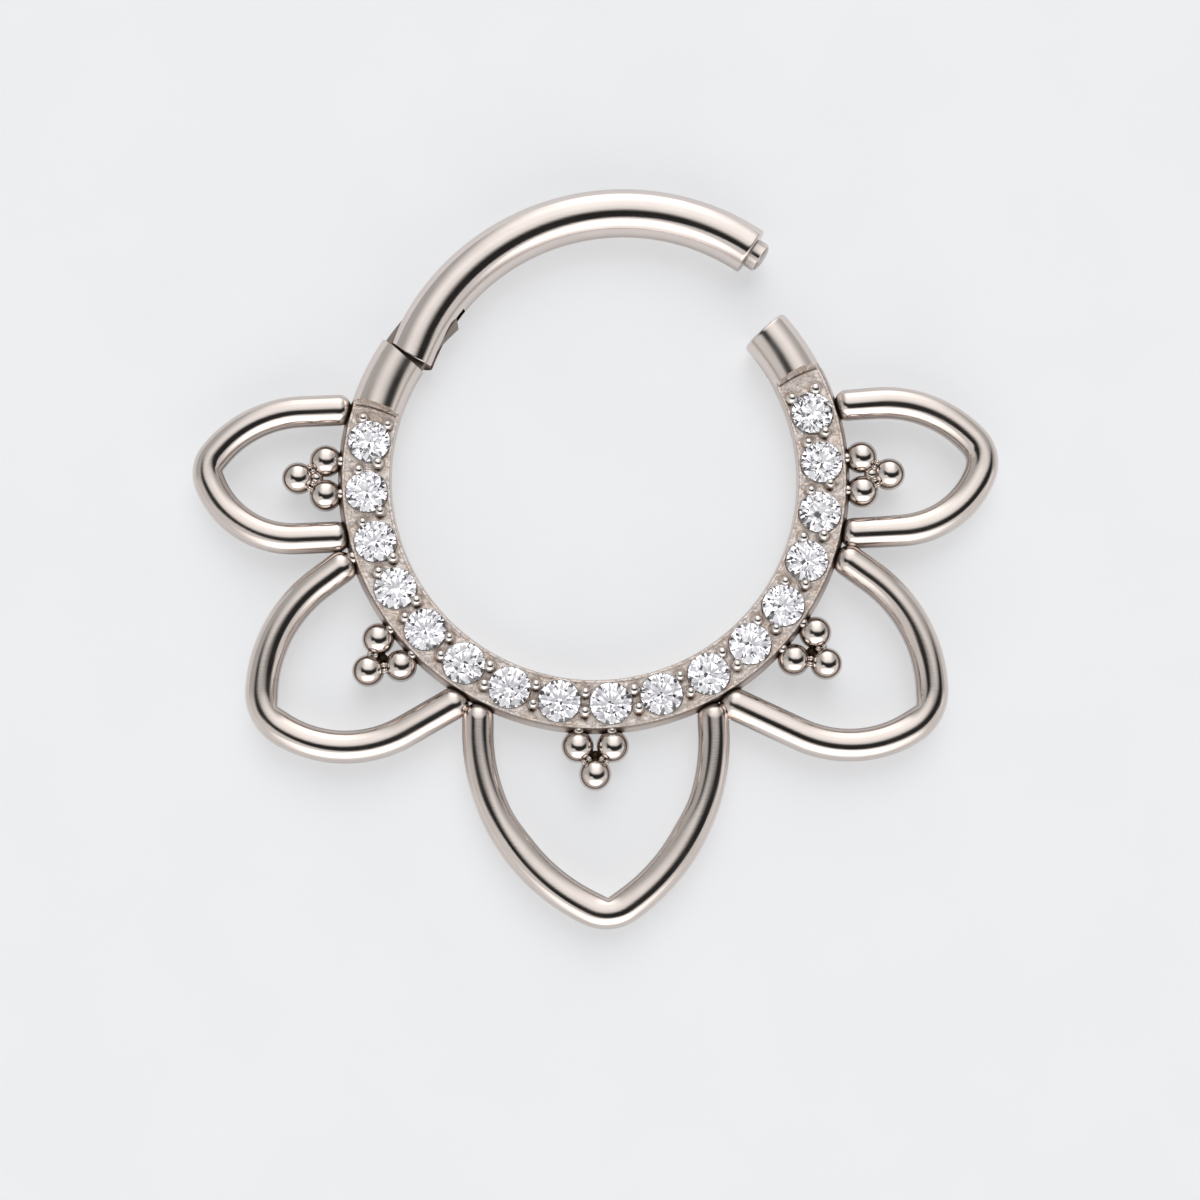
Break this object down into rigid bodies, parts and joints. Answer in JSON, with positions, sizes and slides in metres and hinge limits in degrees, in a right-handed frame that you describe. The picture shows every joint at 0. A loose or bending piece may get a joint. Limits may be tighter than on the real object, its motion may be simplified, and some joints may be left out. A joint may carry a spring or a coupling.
{
  "type": "clicker ring",
  "caption": "Hinged clicker ring for a body piercing: an arc of stone-set band with pointed wire petals and clusters of beads, closed by a plain hinged arm.",
  "frame": {"origin": "the ring's middle: the centre of the circle of its wire, on the wire's middle plane", "axes": "+Z along the ring's axis, towards the side that the stones face; -Y through the middle petal; the hinge is at upper left, seen from +Z"},
  "size_m": [0.0197, 0.0182, 0.0012],
  "materials": {
    "frame_metal": "polished",
    "arm_metal": "polished",
    "stones": "brilliant-cut, clear"
  },
  "bodies": {
    "frame": {"jewelled_frame": "frame_metal", "stone_01": "stones", "stone_02": "stones", "stone_03": "stones", "stone_04": "stones", "stone_05": "stones", "stone_06": "stones", "stone_07": "stones", "stone_08": "stones", "stone_09": "stones", "stone_10": "stones", "stone_11": "stones", "stone_12": "stones", "stone_13": "stones", "stone_14": "stones", "stone_15": "stones", "stone_16": "stones", "stone_17": "stones"},
    "arm": {"hinged_arm": "arm_metal", "hinge_pin": "arm_metal"}
  },
  "joints": [
    {"name": "arm_hinge", "type": "hinge", "parent": "frame", "child": "arm", "pos_m": [-0.00419, 0.00371, 0], "axis": [0, 0, 1], "range_deg": [-13.5, 46.5]}
  ]
}
